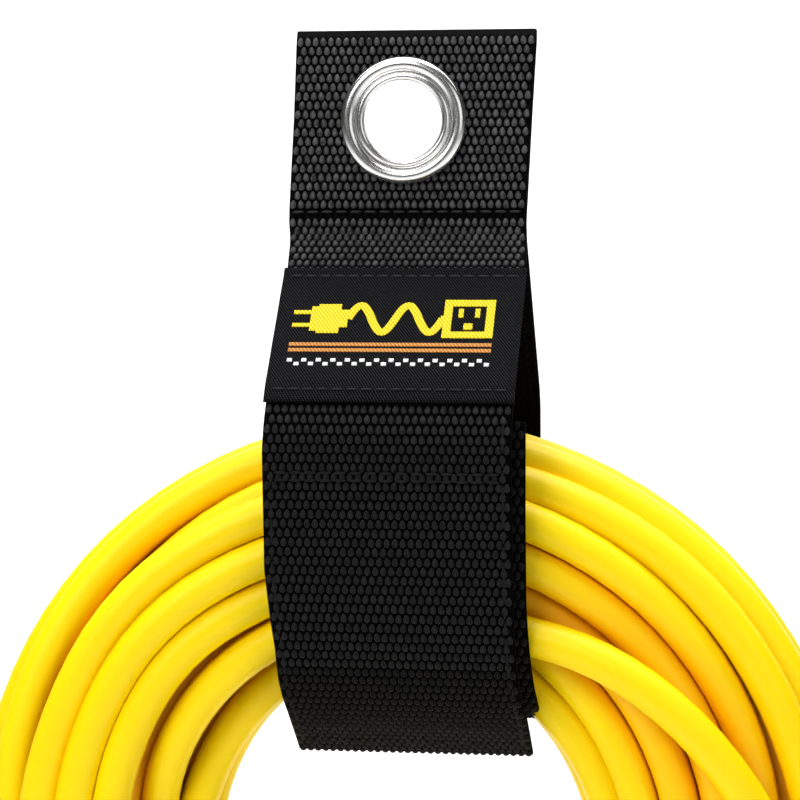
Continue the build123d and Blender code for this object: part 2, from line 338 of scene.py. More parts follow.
def makeCord(c):
    turns = windTurns(c)
    route = [*c["plugRoute"], *map(tuple, turns), *c["socketRoute"]]
    data = bpy.data.curves.new("extensionCord", "CURVE")
    data.dimensions = "3D"
    data.bevel_depth = c["diameter"] / 2
    data.bevel_resolution = 4
    data.resolution_u = 5
    data.use_fill_caps = True
    line = data.splines.new("NURBS")
    line.points.add(len(route) - 1)
    for point, (x, y, z) in zip(line.points, route):
        point.co = (x * mm, y * mm, z * mm, 1)
    line.order_u = 3
    line.use_endpoint_u = True
    return link("extensionCord", data)


extensionCord = makeCord(cord)
wear(extensionCord, vinylLook("yellowVinyl", vinyl))
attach(extensionCord, "strap_and_cord")
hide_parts("cord_coil", "plug_lead", "connector_lead")
tuple(v * mm for v in cord["plugRoute"][0])
print("cord wound")


strap = {
    "width": 49.6,  # mm
    "middle": 2.2,  # the eyelet is to the left of the strap's middle
    # drift to the right against height on the front
    "lean": [
        *[(-131, 0.6), (-124, 0.95), (-119, 1.15), (-112, 0.5), (-105, 0.3), (-90, -0.8)],
        *[(-66, -1.2), (-57, -0.8), (-32, -0.9), (-20, -1.8), (0, -0.7), (20, 0.3)],
    ],
    # share of the width against height on the front
    "pinch": [
        *[(-131, 0.992), (-119, 0.988), (-105, 0.977), (-90, 1.006)],
        *[(-66, 1.008), (-57, 1.0), (0, 1.0), (20, 1.01)],
    ],
    # drift to the right along the back piece
    "backLean": [
        *[(0, 0.3), (17, -0.7), (38, -1.8), (83, -1.3), (120, -1.3)],
        *[(150, 2.4), (175, 2.6), (198, 1.5), (215, 1.3), (234, 1.3)],
    ],
    "cloth": (0.35, 1.36),  # the ground cloth's inner and outer face, off the route
}
wrapZ = -96.5  # height at which the webbing starts to turn under the bundle
turnR, flapR = 24.1, 28.2  # radii of the back piece's turn and the flap's
flapTab = 16.0  # the flap's straight end
runOff = math.radians(57)  # how far round the flap goes before its straight end
flapFace = -2.0 - flapR
wrapFoot = wrapZ - turnR
flapCorner = (flapFace, wrapZ - flapR * math.tan(runOff / 2))
leave = (-2.0 - flapR * math.cos(runOff), wrapZ - flapR * math.sin(runOff))
tabEnd = (leave[0] + flapTab * math.sin(runOff), leave[1] - flapTab * math.cos(runOff))
routes = {  # corners (Y, Z) and corner radii of each length of webbing, in mm
    "front": {
        "corners": [(0, 17.4), (-0.2, 17.4), (-0.2, -24.5), (flapFace, -57.5), flapCorner, tabEnd],
        "radii": [0.19, 6, 14, flapR],
        "out": 1,  # the outside is on the right of the route
    },
    "back": {
        "corners": [
            *[(0, 17.4), (0.2, 17.4), (0.2, -24.1), (23.1, -58.65)],
            *[(23.1, wrapFoot), (-26.1, wrapFoot), (-26.1, -60)],
        ],
        "radii": [0.19, 8, 16, turnR, turnR],
        "out": -1,
    },
}


class Route:  # a line of straight runs and arcs, with points at any distance along it
    def __init__(self, spec):
        corners = [np.array(c, float) for c in spec["corners"]]
        self.out = spec["out"]
        points = [corners[0]]
        for a, b, c, radius in zip(corners, corners[1:], corners[2:], spec["radii"]):
            first, second = (b - a) / np.linalg.norm(b - a), (c - b) / np.linalg.norm(c - b)
            cross = first[0] * second[1] - first[1] * second[0]
            turn = math.atan2(cross, float(first @ second))
            reach = radius * math.tan(abs(turn) / 2)
            side = np.array([-first[1], first[0]]) * math.copysign(1, turn)
            centre = b - first * reach + side * radius
            steps = max(4, int(abs(turn) / 0.05))
            y, z = -side * radius
            for k in range(steps + 1):
                cos, sin = math.cos(turn * k / steps), math.sin(turn * k / steps)
                points.append(centre + np.array([y * cos - z * sin, y * sin + z * cos]))
        points.append(corners[-1])
        self.points = np.array(points)
        gaps = np.linalg.norm(np.diff(self.points, axis=0), axis=1)
        keep = np.concatenate([[True], gaps > 1e-6])
        self.points = self.points[keep]
        gaps = np.linalg.norm(np.diff(self.points, axis=0), axis=1)
        self.along = np.concatenate([[0], np.cumsum(gaps)])
        self.length = float(self.along[-1])

    def spot(self, s):
        return [float(np.interp(s, self.along, self.points[:, k])) for k in (0, 1)]

    def at(self, s, x=0.0, h=0.0):  # place and the two directions at a distance along, across and out
        s = min(max(s, 0.0), self.length)
        y, z = self.spot(s)
        before, after = self.spot(max(s - 0.25, 0)), self.spot(min(s + 0.25, self.length))
        dy, dz = after[0] - before[0], after[1] - before[1]
        size = math.hypot(dy, dz)
        dy, dz = dy / size, dz / size
        outY, outZ = dz * self.out, -dy * self.out
        if self.out > 0:
            lean = float(np.interp(z, *zip(*strap["lean"])))
            x = x * float(np.interp(z, *zip(*strap["pinch"])))
        else:
            lean = float(np.interp(s, *zip(*strap["backLean"])))
        return (
            Vector((strap["middle"] + lean + x, y + outY * h, z + outZ * h)) * mm,
            Vector((0, dy, dz)),
            Vector((0, outY, outZ)),
        )

    def whereZ(self, z, nth=0):  # distance along at which the route passes a height
        hits = []
        for i in range(len(self.points) - 1):
            a, b = self.points[i, 1], self.points[i + 1, 1]
            if (a - z) * (b - z) <= 0 and a != b:
                hits.append(float(self.along[i] + (self.along[i + 1] - self.along[i]) * (z - a) / (b - a)))
        return hits[nth]


frontRoute, backRoute = Route(routes["front"]), Route(routes["back"])


def closedMesh(name, vertices, faces, uvs):
    mesh = bpy.data.meshes.new(name)
    mesh.from_pydata(vertices, [], faces)
    layer = mesh.uv_layers.new(name="cloth")
    for loop in mesh.loops:
        layer.data[loop.index].uv = uvs[loop.vertex_index]
    work = bmesh.new()
    work.from_mesh(mesh)
    bmesh.ops.recalc_face_normals(work, faces=work.faces)
    work.to_mesh(mesh)
    work.free()
    return mesh


def bandFaces(rows, n, start=0):  # a tube of rows of n points, with both ends closed
    faces = []
    for i in range(rows):
        for k in range(n):
            m = (k + 1) % n
            quad = (i * n + k, i * n + m, (i + 1) * n + m, (i + 1) * n + k)
            faces.append(tuple(start + v for v in quad))
    faces.append(tuple(start + k for k in range(n)))
    faces.append(tuple(start + rows * n + k for k in reversed(range(n))))
    return faces


# painted light and shade: each point stores how much painted light it gets, full at the top, low further down
# and under the flap
def addPaintedLight(mesh, places):
    layer = mesh.attributes.new("fade", "FLOAT", "POINT")
    layer.data.foreach_set("value", [paintedLightAt(place) for place in places])


paintedLightLevels = {
    # painted light against height: full at the top, darker lower down where less light falls
    "byHeight": [(-131, 0.1), (-66, 0.12), (-45, 0.55), (-22, 0.85), (0, 1.0)],
    "shadeUnderFlap": 0.02,  # painted shade: the tail stays dark where it lies under the flap
}


def paintedLightAt(place):
    y, z = place[1] / mm, place[2] / mm
    shadeUnderFlap = -28.5 < y < -15 and z < -58
    return paintedLightLevels["shadeUnderFlap"] if shadeUnderFlap else float(np.interp(z, *zip(*paintedLightLevels["byHeight"])))


def ribbon(name, route, start, end, width, low, high, step=1.0, across=10, shape=None):
    # a closed strip with rounded edges, from one height off the route to another
    half, mid, rise = width / 2, (low + high) / 2, (high - low) / 2
    edge = rise * 0.6  # how far in the rounding starts
    ring = []
    for side, face in ((1, high), (-1, low)):
        for k in range(across + 1):
            ring.append((side * (edge - half + (width - 2 * edge) * k / across), face))
        for k in range(1, 4):
            a = math.pi / 2 - math.pi * k / 4
            ring.append((side * (half - edge + edge * math.cos(a)), mid + side * rise * math.sin(a)))
    rows = max(2, int(round((end - start) / step)))
    vertices, uvs = [], []
    for i in range(rows + 1):
        s = start + (end - start) * i / rows
        for x, h in ring:
            if shape:
                x, h = shape(x, s, h, low, high)
            vertices.append(route.at(s, x, h)[0])
            uvs.append((x * mm, s * mm))
    mesh = closedMesh(name, vertices, bandFaces(rows, len(ring)), uvs)
    addPaintedLight(mesh, vertices)
    mesh.polygons.foreach_set("use_smooth", [True] * len(mesh.polygons))
    mesh.update()
    return link(name, mesh)


def cutHole(thing, radius):
    turned = (math.pi / 2, 0, 0)
    bpy.ops.mesh.primitive_cylinder_add(vertices=64, radius=radius * mm, depth=0.02, rotation=turned)
    cutter = bpy.context.object
    cut = thing.modifiers.new("hole", "BOOLEAN")
    cut.operation, cut.solver, cut.object = "DIFFERENCE", "EXACT", cutter
    bpy.context.view_layer.update()
    mesh = bpy.data.meshes.new_from_object(thing.evaluated_get(bpy.context.evaluated_depsgraph_get()))
    thing.modifiers.clear()
    thing.data = mesh
    bpy.data.objects.remove(cutter)


def seedTree(name, seed, lookFor):
    # inputs: Width, Length, Height, Taper. The guide's "face" and "run" attributes turn each copy
    tree = bpy.data.node_groups.new(name, "GeometryNodeTree")
    tree.interface.new_socket("Geometry", in_out="INPUT", socket_type="NodeSocketGeometry")
    for label in ("Width", "Length", "Height", "Taper"):
        tree.interface.new_socket(label, in_out="INPUT", socket_type="NodeSocketFloat")
    tree.interface.new_socket("Geometry", in_out="OUTPUT", socket_type="NodeSocketGeometry")
    add, join = tree.nodes.new, tree.links.new
    entry, leaveNode = add("NodeGroupInput"), add("NodeGroupOutput")

    ball = add("GeometryNodeMeshUVSphere")
    ball.inputs["Segments"].default_value = seed["segments"]
    ball.inputs["Rings"].default_value = seed["rings"]
    ball.inputs["Radius"].default_value = 0.5
    size = add("ShaderNodeCombineXYZ")
    for socket, label in zip(size.inputs, ("Width", "Length", "Height")):
        join(entry.outputs[label], socket)
    turned = add("GeometryNodeTransform")  # poles to the ends of the thread
    turned.inputs["Rotation"].default_value = (math.pi / 2, 0, 0)
    join(ball.outputs["Mesh"], turned.inputs["Geometry"])
    spot, split, wedge = add("GeometryNodeInputPosition"), add("ShaderNodeSeparateXYZ"), add("ShaderNodeMath")
    wedge.operation = "MULTIPLY_ADD"  # wider towards the far end of the thread
    join(spot.outputs[0], split.inputs[0])
    join(split.outputs["Y"], wedge.inputs[0])
    join(entry.outputs["Taper"], wedge.inputs[1])
    wedge.inputs[2].default_value = 1.0
    widened = add("ShaderNodeCombineXYZ")
    for axis in ("X", "Z"):
        times = add("ShaderNodeMath")
        times.operation = "MULTIPLY"
        join(split.outputs[axis], times.inputs[0])
        join(wedge.outputs[0], times.inputs[1])
        join(times.outputs[0], widened.inputs[axis])
    join(split.outputs["Y"], widened.inputs["Y"])
    tapered = add("GeometryNodeSetPosition")
    join(turned.outputs[0], tapered.inputs["Geometry"])
    join(widened.outputs[0], tapered.inputs["Position"])
    scaled = add("GeometryNodeTransform")
    join(tapered.outputs[0], scaled.inputs["Geometry"])
    join(size.outputs[0], scaled.inputs["Scale"])

    face, run = add("GeometryNodeInputNamedAttribute"), add("GeometryNodeInputNamedAttribute")
    for node, label in ((face, "face"), (run, "run")):
        node.data_type = "FLOAT_VECTOR"
        node.inputs["Name"].default_value = label
    out = add("FunctionNodeAlignRotationToVector")
    out.axis = "Z"
    join(face.outputs[0], out.inputs["Vector"])
    ahead = add("FunctionNodeAlignRotationToVector")
    ahead.axis, ahead.pivot_axis = "Y", "Z"
    join(out.outputs[0], ahead.inputs["Rotation"])
    join(run.outputs[0], ahead.inputs["Vector"])

    points = add("GeometryNodeMeshToPoints")
    join(entry.outputs["Geometry"], points.inputs["Mesh"])
    copies = add("GeometryNodeInstanceOnPoints")
    join(points.outputs[0], copies.inputs["Points"])
    join(scaled.outputs[0], copies.inputs["Instance"])
    join(ahead.outputs[0], copies.inputs["Rotation"])
    real = add("GeometryNodeRealizeInstances")
    join(copies.outputs[0], real.inputs["Geometry"])
    soft = add("GeometryNodeSetShadeSmooth")
    join(real.outputs[0], soft.inputs["Geometry"])
    finish = add("GeometryNodeSetMaterial")
    finish.inputs["Material"].default_value = lookFor.material
    join(soft.outputs[0], finish.inputs["Geometry"])
    join(finish.outputs[0], leaveNode.inputs["Geometry"])
    return tree


def sow(name, guides, tree, width, length, height, taper=0.0):
    # guides: (place, face direction, run direction), in metres
    mesh = bpy.data.meshes.new(name)
    mesh.from_pydata([g[0] for g in guides], [], [])
    for label, k in (("face", 1), ("run", 2)):
        layer = mesh.attributes.new(label, "FLOAT_VECTOR", "POINT")
        layer.data.foreach_set("vector", [v for g in guides for v in g[k]])
    addPaintedLight(mesh, [g[0] for g in guides])
    guide = link(name + "Guide", mesh)
    made = guide.modifiers.new("sow", "NODES")
    made.node_group = tree
    sockets = {item.name: item.identifier for item in tree.interface.items_tree if item.in_out == "INPUT"}
    for label, value in (("Width", width), ("Length", length), ("Height", height)):
        made[sockets[label]] = value * mm
    made[sockets["Taper"]] = taper
    bpy.context.view_layer.update()
    result = bpy.data.meshes.new_from_object(guide.evaluated_get(bpy.context.evaluated_depsgraph_get()))
    bpy.data.objects.remove(guide)
    result.name = name
    return link(name, result)


def webbingLook(name, dark, light, tight):
    look = Look(name, Specular_IOR_Level=0.22)
    fade = look.attribute("fade")
    place = look.coords()
    fibre = look.noise(look.coords(scale=(1, 0.25, 0.25)), 5200, 2)
    patch = look.noise(place, 700, 1)  # one float takes more light than the next
    cloth = look.blend(fibre * 0.9 + patch * 1.1 - 0.55, dark, light)
    look.feed(
        # painted light: the cloth colour dims to the dark colour where the painted light is low
        Base_Color=look.blend(fade, dark, cloth),
        Roughness=fibre * 0.2 + (1 - fade) * 0.4 + 0.38,
        Normal=look.bump(fibre, 0.00005 * tight, 0.6),
    )
    return look


blackFloat = webbingLook("blackWebbing", (0.0005, 0.0005, 0.0006), (0.12, 0.12, 0.124), 1.0)


def groundLook(name, dark, light):  # the cloth between and behind the floats: black webbing, painted much darker than the floats as shade in the gaps
    look = Look(name, Specular_IOR_Level=0.03)
    fade = look.attribute("fade")
    cloth = look.coords("UV")
    ribs = look.wave(cloth, 202.7, "X") * look.wave(cloth, 157.0, "Y")
    fibre = look.noise(look.coords(), 3000, 2)
    colour = look.blend(ribs * 0.7 + fibre * 0.3, dark, light)
    look.feed(
        # painted light: dims to the dark colour where the painted light is low
        Base_Color=look.blend(fade, dark, colour),
        Roughness=fibre * 0.2 + 0.7,
        Normal=look.bump(ribs, 0.0003, 0.8),
    )
    return look


# painted shade: far darker than the floats' colour, so the gaps between floats read as shade
blackShadedGround = groundLook("blackWebbingShadedGround", (0.0008, 0.0008, 0.0008), (0.004, 0.004, 0.0045))

weave = {
    "pitch": 1.58,  # between columns of floats
    "row": 1.86,
    "width": 1.32,
    "length": 1.8,
    "height": 1.0,
    "taper": 0.55,
    "slant": 0.1,
    "wander": 0.09,  # most that one float leans more or less than the next
    "start": 0.4,
    "randomSeed": 3,
    "seed": {"segments": 7, "rings": 5},
}
floatTree = seedTree("wovenFloats", weave["seed"], blackFloat)


def floatGuides(route, skip):
    columns = int(round((strap["width"] - 0.2) / weave["pitch"]))
    rand = random.Random(weave["randomSeed"])
    guides = []
    start, row = weave["start"], weave["row"]
    span = route.length - start
    rows = int(span / row)
    for i in range(rows + 1):
        s = start + 0.5 * row + i * (span - row) / rows
        count = columns if i % 2 == 0 else columns - 1
        for k in range(count):
            x = (k - (count - 1) / 2) * weave["pitch"]
            place, run, face = route.at(s, x, strap["cloth"][1])
            if skip(x, s, place):
                continue
            lean = weave["slant"] * (1 if k % 2 else -0.6) + rand.uniform(-weave["wander"], weave["wander"])
            guides.append((place, face, run + Vector((lean, 0, 0))))
    return guides


eyelet = {"clothHole": 8.7, "floatsClear": 12.3}  # radii, mm


def nearEyelet(x, s, place):
    return place.z > -0.014 and math.hypot(place.x, place.z) < eyelet["floatsClear"] * mm


label = {"high": -31.8, "low": -57.3, "width": 49.9, "bottom": 1.9, "top": 2.32, "hem": 1.6}
labelS = (frontRoute.whereZ(label["high"]), frontRoute.whereZ(label["low"]))
seam = {"z": -19.4, "wide": 1.3, "deep": 0.35}
seamS = frontRoute.whereZ(seam["z"])


def frontDent(x, s, h, low, high):  # the sewn seam pulls the cloth in
    return x, h - math.exp(-(((s - seamS) / seam["wide"]) ** 2)) * seam["deep"]


def groundCloth(name, route, **more):
    cloth = ribbon(name, route, 0.0, route.length - 0.3, strap["width"] - 0.3, *strap["cloth"], **more)
    cutHole(cloth, eyelet["clothHole"])
    wear(cloth, blackShadedGround)
    return cloth


frontBase = groundCloth("frontBase", frontRoute, shape=frontDent)
backBase = groundCloth("backBase", backRoute, step=1.2)


def bare(x, s, place):  # no floats under the label, along the seam or round the eyelet
    return nearEyelet(x, s, place) or labelS[0] + 0.8 < s < labelS[1] - 0.8 or abs(s - seamS) < 0.7


def sowFloats(name, guides):
    return sow(name, guides, floatTree, weave["width"], weave["length"], weave["height"], weave["taper"])


backGuides = floatGuides(backRoute, nearEyelet)
tailStart = len(backGuides) * 3 // 5
frontFloats = sowFloats("frontFloats", floatGuides(frontRoute, bare))
backFloats = sowFloats("backFloats", backGuides[:tailStart])
tailFloats = sowFloats("tailFloats", backGuides[tailStart:])
print("webbing woven", *(len(floats.data.polygons) for floats in (frontFloats, backFloats, tailFloats)))
frontFold = ("flap", (0, -0.001, -0.0197), (0, -0.001, -0.0216))
backFold = ("tail", (0, 0.001, -0.1215), (0, -0.005, -0.1215))
for cloth, floats, route, fold, nodes in (
    (frontBase, [frontFloats], frontRoute, frontFold, ["flap_webbing"]),
    (backBase, [backFloats, tailFloats], backRoute, backFold, ["hanger_webbing", "tail_webbing"]),
):
    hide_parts(*nodes)
    for piece in (cloth, *floats):
        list(fold)
        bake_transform(piece)
    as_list(floats)


def labelShape(x, s, h, low, high):  # folded hems top and bottom, and edges that turn down a little
    near = min(s - labelS[0], labelS[1] - s)
    if h > (low + high) / 2:
        h += 0.16 * min(1.0, max(0.0, (label["hem"] - near) / 0.5))
        h += 0.05 * math.sin(s * 0.55) * (abs(x) / 25) ** 2
    return x, h


def twillLook(name, base, glint, shine, scale=1.0, depth=0.00012):
    look = Look(name, Specular_IOR_Level=shine)
    cloth = look.coords("UV", turn=(0, 0, 0.6))
    ribs = look.wave(cloth, 640 * scale, "X", 0.3)
    across = look.wave(look.coords("UV"), 900 * scale, "Y", 0.2)
    grain = look.noise(look.coords(), 2500, 2)
    pattern = ribs * 0.5 + across * 0.2 + grain * 0.3
    middle = tuple(a * 0.75 + b * 0.25 for a, b in zip(base, glint)) if shine < 0.2 else glint
    look.feed(
        Base_Color=look.ramp(pattern, [(0.4, base), (0.62, middle), (0.85, glint)]),
        Roughness=grain * 0.15 + 0.55,
        Normal=look.bump(ribs * 0.7 + across * 0.3, depth, 0.7),
    )
    return look


wovenLabel = ribbon(
    "wovenLabel",
    frontRoute,
    *labelS,
    label["width"],
    label["bottom"],
    label["top"],
    step=0.5,
    across=16,
    shape=labelShape,
)
wear(wovenLabel, twillLook("blackTwill", (0.0, 0.0, 0.0), (0.03, 0.03, 0.034), 0.02))
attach(wovenLabel, "flap")
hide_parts("woven_label")

motif = {
    "top": -38.2,
    "bottom": -45.6,
    "half": 20.4,
    "shift": -1.0,  # the embroidery sits a little to the left
    "line": 1.7,  # width of a thick line
    "raise": 0.14,
    "rules": (-46.9, -48.0),
    "rule": 0.9,
    "dashRow": -50.3,
    "dashes": 28,
    "dashSpan": 0.97,  # share of the rules' length
    # the plug's bars: from, to, off the middle, and width
    "plug": [
        *[(0, 3.6, -1.7, 1.0), (0, 3.6, 1.7, 1.0)],
        *[(3.6, 5.0, 0, 6.4), (5.0, 9.6, 0, 7.6), (9.6, 11.2, 0, 4.6)],
    ],
    "socketWide": 9.4,
    "slotIn": 2.6,  # from the socket's sides to its slots
    "halfWaves": 4,  # of the cord
}


def strokes(name, lines, look, step=0.5):
    # lines: (points in X and distance along, width); each becomes a thin raised bar on the label
    vertices, faces, uvs = [], [], []
    low = label["top"] - 0.06
    for index, (points, width) in enumerate(lines):
        high = label["top"] + motif["raise"] + 0.02 * (index % 5)  # strokes that cross lie on each other
        left = [(-0.5, low), (-0.5, high - 0.05), (-0.42, high)]
        section = [*left, *((-side, h) for side, h in reversed(left))]
        dense = []
        for a, b in zip(points, points[1:]):
            n = max(1, int(math.dist(a, b) / step))
            dense += [(a[0] + (b[0] - a[0]) * k / n, a[1] + (b[1] - a[1]) * k / n) for k in range(n)]
        dense.append(points[-1])
        start = len(vertices)
        for k, (x, s) in enumerate(dense):
            a, b = dense[max(k - 1, 0)], dense[min(k + 1, len(dense) - 1)]
            size = math.dist(a, b)
            nx, ns = -(b[1] - a[1]) / size, (b[0] - a[0]) / size
            for side, h in section:
                px, ps = x + nx * side * width, s + ns * side * width
                vertices.append(frontRoute.at(ps, px + motif["shift"], h)[0])
                uvs.append((px * mm, ps * mm))
        faces += bandFaces(len(dense) - 1, len(section), start)
    thing = link(name, closedMesh(name, vertices, faces, uvs))
    wear(thing, look)
    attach(thing, "flap")
    return thing


def badge():  # a plug, a wavy cord and a socket
    top, bottom = frontRoute.whereZ(motif["top"]), frontRoute.whereZ(motif["bottom"])
    mid, tall, w, half = (top + bottom) / 2, bottom - top, motif["line"], motif["half"]
    lines = [([(-half + a, mid + off), (-half + b, mid + off)], width) for a, b, off, width in motif["plug"]]
    left, right = -half + motif["plug"][-1][1], half - motif["socketWide"] - 1.0
    swing = (tall / 2 - w / 2) * 0.86
    wave = []
    for k in range(49):
        turn = math.pi * motif["halfWaves"] * k / 48
        wave.append((left + (right - left) * k / 48, mid - swing * math.sin(turn)))
    lines.append((wave, w))
    box, far, slot = half - motif["socketWide"], half - w / 2, motif["slotIn"]
    high, low = mid - tall / 2 + w / 2, mid + tall / 2 - w / 2
    lines += [
        ([(box - 1.4, mid), (box, mid)], w),
        ([(box, high - w / 2), (box, low + w / 2)], w),
        ([(far, high - w / 2), (far, low + w / 2)], w),
        ([(box, high), (far, high)], w),
        ([(box, low), (far, low)], w),
        ([(box + slot, mid - 0.4), (box + slot, mid - 2.7)], 1.0),
        ([(far - slot, mid - 0.4), (far - slot, mid - 2.7)], 1.0),
        ([((box + far) / 2 - 0.9, mid + 2.0), ((box + far) / 2 + 0.9, mid + 2.0)], 1.6),
    ]
    return lines


def threadLook(name, low, high):
    return twillLook(name, low, high, 0.25, scale=0.8, depth=0.0001)


labelBadge = strokes("labelBadge", badge(), threadLook("yellowThread", (0.55, 0.36, 0.0), (0.9, 0.74, 0.005)))
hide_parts("label_embroidery")
ruleLines = []
for z in motif["rules"]:
    s = frontRoute.whereZ(z)
    ruleLines.append(([(-motif["half"], s), (motif["half"], s)], motif["rule"]))
strokes("labelRules", ruleLines, threadLook("orangeThread", (0.36, 0.13, 0.02), (0.62, 0.27, 0.05)))
dashS, dashHalf = frontRoute.whereZ(motif["dashRow"]), motif["half"] * motif["dashSpan"]
dashLines = []
for k in range(motif["dashes"]):
    x, s = -dashHalf + k * 2 * dashHalf / (motif["dashes"] - 1), dashS + (0.5 if k % 2 else -0.5)
    dashLines.append(([(x - 0.5, s), (x + 0.5, s)], 0.85))
strokes("labelDashes", dashLines, threadLook("whiteThread", (0.6, 0.6, 0.6), (0.85, 0.85, 0.85)))
print("label woven")


stitch = {
    "pitch": 2.9,
    "length": 2.5,
    "width": 0.62,
    "height": 0.5,
    "seed": {"segments": 8, "rings": 6},
    # heights of the rows, and how far off the route they lie
    "hanger": {"z": -18.7, "half": 24, "off": 1.68},
    "hookTape": {"top": -70.3, "end": -125.6, "half": 22.5, "side": 22.9, "off": 1.72, "sideOff": 1.5},
    "label": {"fromTop": 2.2, "fromEnd": 2.4, "half": 23.6, "off": 2.38},
    "loopTape": {"top": -63, "long": 50, "half": 22, "off": 0.2},
}
blackThread = webbingLook("blackThread", (0.004, 0.004, 0.004), (0.02, 0.02, 0.022), 0.5)
stitchTree = seedTree("stitches", stitch["seed"], blackThread)


def rowOf(route, s, half, h, side=1):  # a row across the webbing
    n = int(2 * half / stitch["pitch"])
    for k in range(n):
        place, _, face = route.at(s, -half + 2 * half * (k + 0.5) / n, h)
        yield place, face * side, Vector((1, 0, 0))


def columnOf(route, fromS, toS, x, h, side=1):  # a row along it
    n = int(abs(toS - fromS) / stitch["pitch"])
    for k in range(n):
        place, run, face = route.at(fromS + (toS - fromS) * (k + 0.5) / n, x, h)
        yield place, face * side, run


def sewn(name, guides, body, node):
    thing = sow(name, guides, stitchTree, stitch["width"], stitch["length"], stitch["height"])
    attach(thing, body)
    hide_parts(node)


row = stitch["hanger"]
hangerRows = []
for route in (frontRoute, backRoute):
    hangerRows += rowOf(route, route.whereZ(row["z"]), row["half"], row["off"])
sewn("hangerStitches", hangerRows, "strap_and_cord", "hanger_stitching")

row = stitch["hookTape"]
top, end = frontRoute.whereZ(row["top"]), frontRoute.whereZ(row["end"])
hookTapeRows = [
    *rowOf(frontRoute, top, row["half"], row["off"]),
    *rowOf(frontRoute, top + 1.5, row["half"], row["off"]),
    *columnOf(frontRoute, top - 10, end, row["side"], row["sideOff"]),
    *columnOf(frontRoute, top, end, -row["side"], row["sideOff"]),
    *rowOf(frontRoute, end, row["half"], row["off"]),
]
sewn("hookTapeStitches", hookTapeRows, "flap", "hook_tape_stitching")

row = stitch["label"]
labelRows = []
for s in (labelS[0] + row["fromTop"], labelS[1] - row["fromEnd"]):
    labelRows += rowOf(frontRoute, s, row["half"], row["off"])
sewn("labelStitches", labelRows, "flap", "label_stitching")

row = stitch["loopTape"]
top = backRoute.whereZ(row["top"], -1)
end = top - row["long"]
loopTapeRows = [
    *rowOf(backRoute, top, row["half"], row["off"], -1),
    *columnOf(backRoute, end, top, row["half"], row["off"], -1),
    *columnOf(backRoute, end, top, -row["half"], row["off"], -1),
    *rowOf(backRoute, end, row["half"], row["off"], -1),
]
sewn("loopTapeStitches", loopTapeRows, "tail", "loop_tape_stitching")
print("stitching done")


def steelLook():
    look = Look("nickelSteel", Metallic=1.0)
    place = look.coords()
    scuff = look.noise(look.coords(scale=(1, 4, 1)), 500, 3, 0.6)
    cloud = look.noise(place, 130, 2)
    look.feed(
        Base_Color=look.blend(cloud, (0.74, 0.735, 0.72), (0.86, 0.86, 0.85)),
        Roughness=scuff * 0.1 + cloud * 0.08 + 0.15,
        Normal=look.bump(scuff, 0.00001, 0.2),
    )
    return look


def brassLook():
    look = Look("brass", Metallic=1.0)
    drawn = look.noise(look.coords(scale=(1, 1, 0.08)), 2600, 3)
    look.feed(
        Base_Color=look.blend(drawn, (0.72, 0.5, 0.2), (0.85, 0.66, 0.34)),
        Roughness=drawn * 0.2 + 0.2,
        Normal=look.bump(drawn, 0.00002, 0.4),
    )
    return look


def tapeLook(name, fuzz, depth):
    look = Look(name, Specular_IOR_Level=0.15)
    hair = look.noise(look.coords(), fuzz, 4, 0.7)
    tuft = look.noise(look.coords(), fuzz * 0.3, 2)
    look.feed(
        Base_Color=look.blend(hair * 0.6 + tuft * 0.4, (0.004, 0.004, 0.004), (0.03, 0.03, 0.032)),
        Roughness=hair * 0.15 + 0.75,
        Normal=look.bump(hair * 0.5 + tuft * 0.5, depth, 0.9),
    )
    return look


def mouldedLook(name, low, high, rough):
    look = Look(name, Specular_IOR_Level=0.45)
    spark = look.noise(look.coords(), 1800, 3, 0.6)
    cloud = look.noise(look.coords(), 60, 2)
    look.feed(
        Base_Color=look.blend(cloud * 0.6 + spark * 0.3, low, high),
        Roughness=spark * 0.14 + rough,
        Normal=look.bump(spark, 0.00005, 0.6),
    )
    return look


finishes = {
    "grommet": steelLook(),
    "_blade": brassLook(),
    "hook_tape": tapeLook("hookNylon", 3200, 0.0004),
    "loop_tape": tapeLook("loopNylon", 1500, 0.0006),
    "_body": mouldedLook("yellowOvermould", (0.93, 0.58, 0.0), (0.86, 0.5, 0.0), 0.34),
    "_insert": mouldedLook("blackInsert", (0.015, 0.015, 0.016), (0.03, 0.03, 0.032), 0.4),
    "line_wire": mouldedLook("blackInsulation", (0.015, 0.015, 0.015), (0.03, 0.03, 0.03), 0.35),
    "neutral_wire": mouldedLook("whiteInsulation", (0.75, 0.75, 0.73), (0.85, 0.85, 0.83), 0.35),
    "ground_wire": mouldedLook("greenInsulation", (0.02, 0.25, 0.05), (0.03, 0.35, 0.08), 0.35),
}
finishes["_pin"] = finishes["_contact"] = finishes["_blade"]
finishes["strain_relief"] = finishes["_body"]
for name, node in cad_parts.items():
    for part, look in finishes.items():
        if part in name and not node.hide_render:
            for place in node.material_slots:
                place.material = look.material

